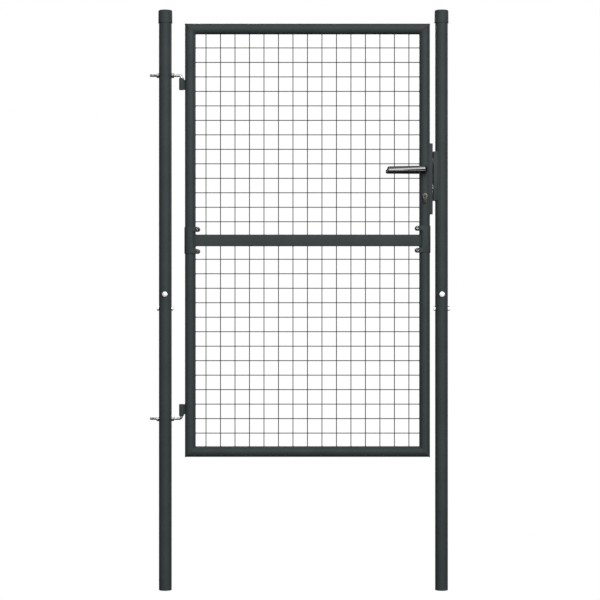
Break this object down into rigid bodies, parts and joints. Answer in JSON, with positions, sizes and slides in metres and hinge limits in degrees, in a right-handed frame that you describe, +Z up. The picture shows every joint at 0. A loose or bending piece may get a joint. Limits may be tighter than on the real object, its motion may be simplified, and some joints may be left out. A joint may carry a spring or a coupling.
{
  "type": "garden gate",
  "caption": "Garden gate: framed wire-mesh leaf on hinge bolts between two round posts, with lever-handle mortise lock and keep.",
  "frame": {"origin": "on the ground, at the middle of the closed gate's overall width and depth", "axes": "+X along the gate from the hinge post to the latch post, +Y from the front to the back, +Z up"},
  "size_m": [1.0356, 0.123, 2],
  "materials": {
    "post_paint": "anthracite powder coat, satin",
    "leaf_paint": "anthracite powder coat, satin",
    "wire_paint": "anthracite powder coat over galvanised wire",
    "cap_plastic": "moulded, fine satin",
    "sleeve_zinc": "galvanised",
    "zinc_fasteners": "bright zinc plate",
    "lock_steel": "zinc plated sheet",
    "bolt_nickel": "nickel plated",
    "cylinder_nickel": "satin nickel on brass",
    "lever_black": "black gloss lacquer on die-cast zinc",
    "bush_nylon": "black nylon",
    "spring_steel": "oiled spring wire"
  },
  "bodies": {
    "posts": {"hinge_post_cap": "cap_plastic", "hinge_post_lower": "post_paint", "hinge_post_sleeve": "sleeve_zinc", "hinge_post_upper": "post_paint", "latch_post_cap": "cap_plastic", "latch_post_lower": "post_paint", "latch_post_sleeve": "sleeve_zinc", "latch_post_upper": "post_paint", "post_cross_bolts": "zinc_fasteners", "post_cross_nuts": "zinc_fasteners", "post_front_bolts": "zinc_fasteners", "post_front_nuts": "zinc_fasteners", "upper_hinge_bolt": "zinc_fasteners", "lower_hinge_bolt": "zinc_fasteners", "hinge_nuts": "zinc_fasteners", "keep": "post_paint"},
    "leaf": {"bottom_rail": "leaf_paint", "crossbar": "leaf_paint", "cylinder_body": "cylinder_nickel", "cylinder_screw": "lock_steel", "follower_spring": "spring_steel", "forend_screws": "zinc_fasteners", "latch_spring": "spring_steel", "left_saddle": "leaf_paint", "left_stile_lower": "leaf_paint", "left_stile_sleeve": "sleeve_zinc", "left_stile_upper": "leaf_paint", "lever_bushes": "bush_nylon", "lock_case": "lock_steel", "lock_case_cover": "lock_steel", "lock_forend": "leaf_paint", "lock_housing": "leaf_paint", "lower_hinge_barrel": "leaf_paint", "lower_hinge_lug": "leaf_paint", "lower_mesh": "wire_paint", "right_saddle": "leaf_paint", "right_stile_lower": "leaf_paint", "right_stile_sleeve": "sleeve_zinc", "right_stile_upper": "leaf_paint", "saddle_bolts": "zinc_fasteners", "saddle_nuts": "zinc_fasteners", "top_rail": "leaf_paint", "upper_hinge_barrel": "leaf_paint", "upper_hinge_lug": "leaf_paint", "upper_mesh": "wire_paint"},
    "handle": {"front_lever": "lever_black", "rear_lever": "lever_black", "spindle": "lock_steel", "lever_grub_screws": "lock_steel", "follower": "lock_steel"},
    "latch": {"latch_bolt": "bolt_nickel"},
    "deadbolt": {"deadbolt": "bolt_nickel"},
    "key_plug": {"cylinder_plugs": "cylinder_nickel", "cylinder_cam": "cylinder_nickel"}
  },
  "joints": [
    {"name": "leaf_swing", "type": "hinge", "parent": "posts", "child": "leaf", "pos_m": [-0.40895, 0, 1.2], "axis": [0, 0, 1], "range_deg": [-120, 120]},
    {"name": "handle_turn", "type": "hinge", "parent": "leaf", "child": "handle", "pos_m": [0.42985, 0, 1.45], "axis": [0, -1, 0], "range_deg": [0, 40], "stiffness_Nm_per_rad": 1.5, "springref_deg": -34.38},
    {"name": "latch_slide", "type": "slide", "parent": "leaf", "child": "latch", "axis": [-1, 0, 0], "range_m": [0, 0.0101], "deforming": ["latch_spring"]},
    {"name": "key_turn", "type": "hinge", "parent": "leaf", "child": "key_plug", "pos_m": [0.42985, 0, 1.358], "axis": [0, -1, 0], "range_deg": [0, 360]},
    {"name": "deadbolt_slide", "type": "slide", "parent": "leaf", "child": "deadbolt", "axis": [-1, 0, 0], "range_m": [0, 0.014]}
  ],
  "couplings": [
    {"joint": "latch_slide", "follows": "handle_turn", "m_per_rad": 0.014324},
    {"joint": "key_turn", "follows": "deadbolt_slide", "rad_per_m": 448.79}
  ]
}
